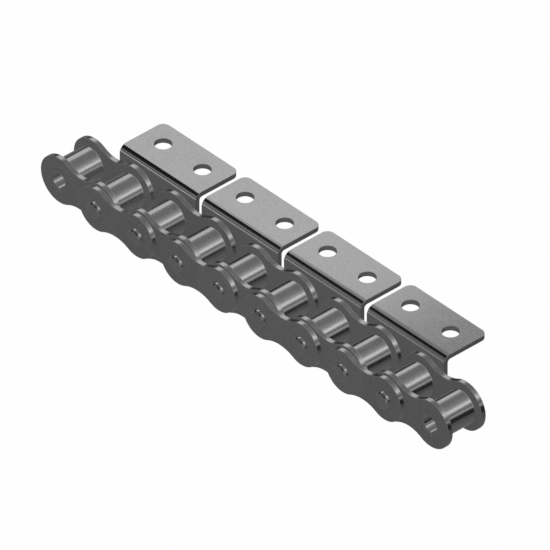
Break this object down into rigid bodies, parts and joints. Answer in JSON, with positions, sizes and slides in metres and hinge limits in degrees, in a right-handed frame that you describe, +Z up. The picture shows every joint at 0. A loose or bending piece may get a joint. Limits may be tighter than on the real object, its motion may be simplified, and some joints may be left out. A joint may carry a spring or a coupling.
{
  "type": "conveyor chain",
  "caption": "Strand of roller chain whose outer links each carry a bent plate with two holes on one side, for fixing flights or slats.",
  "frame": {"origin": "centre of the first bush's bore, on the pitch line and halfway across the chain", "axes": "+X along the strand from the first bush to the last, +Y across the chain along the pins, towards the side with the carrier plates, +Z up, out of the carrier plates' flat tops"},
  "size_m": [0.1885, 0.0377, 0.0201],
  "materials": {
    "plate_steel": "satin",
    "carrier_steel": "satin",
    "pin_steel": "satin",
    "bush_steel": "satin",
    "roller_steel": "satin"
  },
  "bodies": {
    "inner_link_1": {"inner_plate_front_1": "plate_steel", "inner_plate_back_1": "plate_steel", "bush_01": "bush_steel", "bush_02": "bush_steel"},
    "inner_link_2": {"inner_plate_front_2": "plate_steel", "inner_plate_back_2": "plate_steel", "bush_03": "bush_steel", "bush_04": "bush_steel"},
    "inner_link_3": {"inner_plate_front_3": "plate_steel", "inner_plate_back_3": "plate_steel", "bush_05": "bush_steel", "bush_06": "bush_steel"},
    "inner_link_4": {"inner_plate_front_4": "plate_steel", "inner_plate_back_4": "plate_steel", "bush_07": "bush_steel", "bush_08": "bush_steel"},
    "inner_link_5": {"inner_plate_front_5": "plate_steel", "inner_plate_back_5": "plate_steel", "bush_09": "bush_steel", "bush_10": "bush_steel"},
    "outer_link_1": {"outer_plate_1": "plate_steel", "carrier_plate_1": "carrier_steel", "pin_02": "pin_steel", "pin_03": "pin_steel"},
    "outer_link_2": {"outer_plate_2": "plate_steel", "carrier_plate_2": "carrier_steel", "pin_04": "pin_steel", "pin_05": "pin_steel"},
    "outer_link_3": {"outer_plate_3": "plate_steel", "carrier_plate_3": "carrier_steel", "pin_06": "pin_steel", "pin_07": "pin_steel"},
    "outer_link_4": {"outer_plate_4": "plate_steel", "carrier_plate_4": "carrier_steel", "pin_08": "pin_steel", "pin_09": "pin_steel"},
    "roller_01": {"roller_01": "roller_steel"},
    "roller_02": {"roller_02": "roller_steel"},
    "roller_03": {"roller_03": "roller_steel"},
    "roller_04": {"roller_04": "roller_steel"},
    "roller_05": {"roller_05": "roller_steel"},
    "roller_06": {"roller_06": "roller_steel"},
    "roller_07": {"roller_07": "roller_steel"},
    "roller_08": {"roller_08": "roller_steel"},
    "roller_09": {"roller_09": "roller_steel"},
    "roller_10": {"roller_10": "roller_steel"}
  },
  "joints": [
    {"name": "pin_02_hinge", "type": "hinge", "parent": "outer_link_1", "child": "inner_link_1", "pos_m": [0.01905, 0, 0], "axis": [0, -1, 0], "range_deg": [-36, 36]},
    {"name": "pin_03_hinge", "type": "hinge", "parent": "inner_link_2", "child": "outer_link_1", "pos_m": [0.0381, 0, 0], "axis": [0, -1, 0], "range_deg": [-6.5, 36]},
    {"name": "pin_04_hinge", "type": "hinge", "parent": "outer_link_2", "child": "inner_link_2", "pos_m": [0.05715, 0, 0], "axis": [0, -1, 0], "range_deg": [-6.5, 36]},
    {"name": "pin_05_hinge", "type": "hinge", "parent": "inner_link_3", "child": "outer_link_2", "pos_m": [0.0762, 0, 0], "axis": [0, -1, 0], "range_deg": [-6.5, 36]},
    {"name": "pin_06_hinge", "type": "hinge", "parent": "inner_link_3", "child": "outer_link_3", "pos_m": [0.09525, 0, 0], "axis": [0, 1, 0], "range_deg": [-6.5, 36]},
    {"name": "pin_07_hinge", "type": "hinge", "parent": "outer_link_3", "child": "inner_link_4", "pos_m": [0.1143, 0, 0], "axis": [0, 1, 0], "range_deg": [-6.5, 36]},
    {"name": "pin_08_hinge", "type": "hinge", "parent": "inner_link_4", "child": "outer_link_4", "pos_m": [0.13335, 0, 0], "axis": [0, 1, 0], "range_deg": [-6.5, 36]},
    {"name": "pin_09_hinge", "type": "hinge", "parent": "outer_link_4", "child": "inner_link_5", "pos_m": [0.1524, 0, 0], "axis": [0, 1, 0], "range_deg": [-36, 36]},
    {"name": "roller_01_turn", "type": "hinge", "parent": "inner_link_1", "child": "roller_01", "pos_m": [0, 0, 0], "axis": [0, 1, 0], "continuous": true},
    {"name": "roller_02_turn", "type": "hinge", "parent": "inner_link_1", "child": "roller_02", "pos_m": [0.01905, 0, 0], "axis": [0, 1, 0], "continuous": true},
    {"name": "roller_03_turn", "type": "hinge", "parent": "inner_link_2", "child": "roller_03", "pos_m": [0.0381, 0, 0], "axis": [0, 1, 0], "continuous": true},
    {"name": "roller_04_turn", "type": "hinge", "parent": "inner_link_2", "child": "roller_04", "pos_m": [0.05715, 0, 0], "axis": [0, 1, 0], "continuous": true},
    {"name": "roller_05_turn", "type": "hinge", "parent": "inner_link_3", "child": "roller_05", "pos_m": [0.0762, 0, 0], "axis": [0, 1, 0], "continuous": true},
    {"name": "roller_06_turn", "type": "hinge", "parent": "inner_link_3", "child": "roller_06", "pos_m": [0.09525, 0, 0], "axis": [0, 1, 0], "continuous": true},
    {"name": "roller_07_turn", "type": "hinge", "parent": "inner_link_4", "child": "roller_07", "pos_m": [0.1143, 0, 0], "axis": [0, 1, 0], "continuous": true},
    {"name": "roller_08_turn", "type": "hinge", "parent": "inner_link_4", "child": "roller_08", "pos_m": [0.13335, 0, 0], "axis": [0, 1, 0], "continuous": true},
    {"name": "roller_09_turn", "type": "hinge", "parent": "inner_link_5", "child": "roller_09", "pos_m": [0.1524, 0, 0], "axis": [0, 1, 0], "continuous": true},
    {"name": "roller_10_turn", "type": "hinge", "parent": "inner_link_5", "child": "roller_10", "pos_m": [0.17145, 0, 0], "axis": [0, 1, 0], "continuous": true}
  ]
}
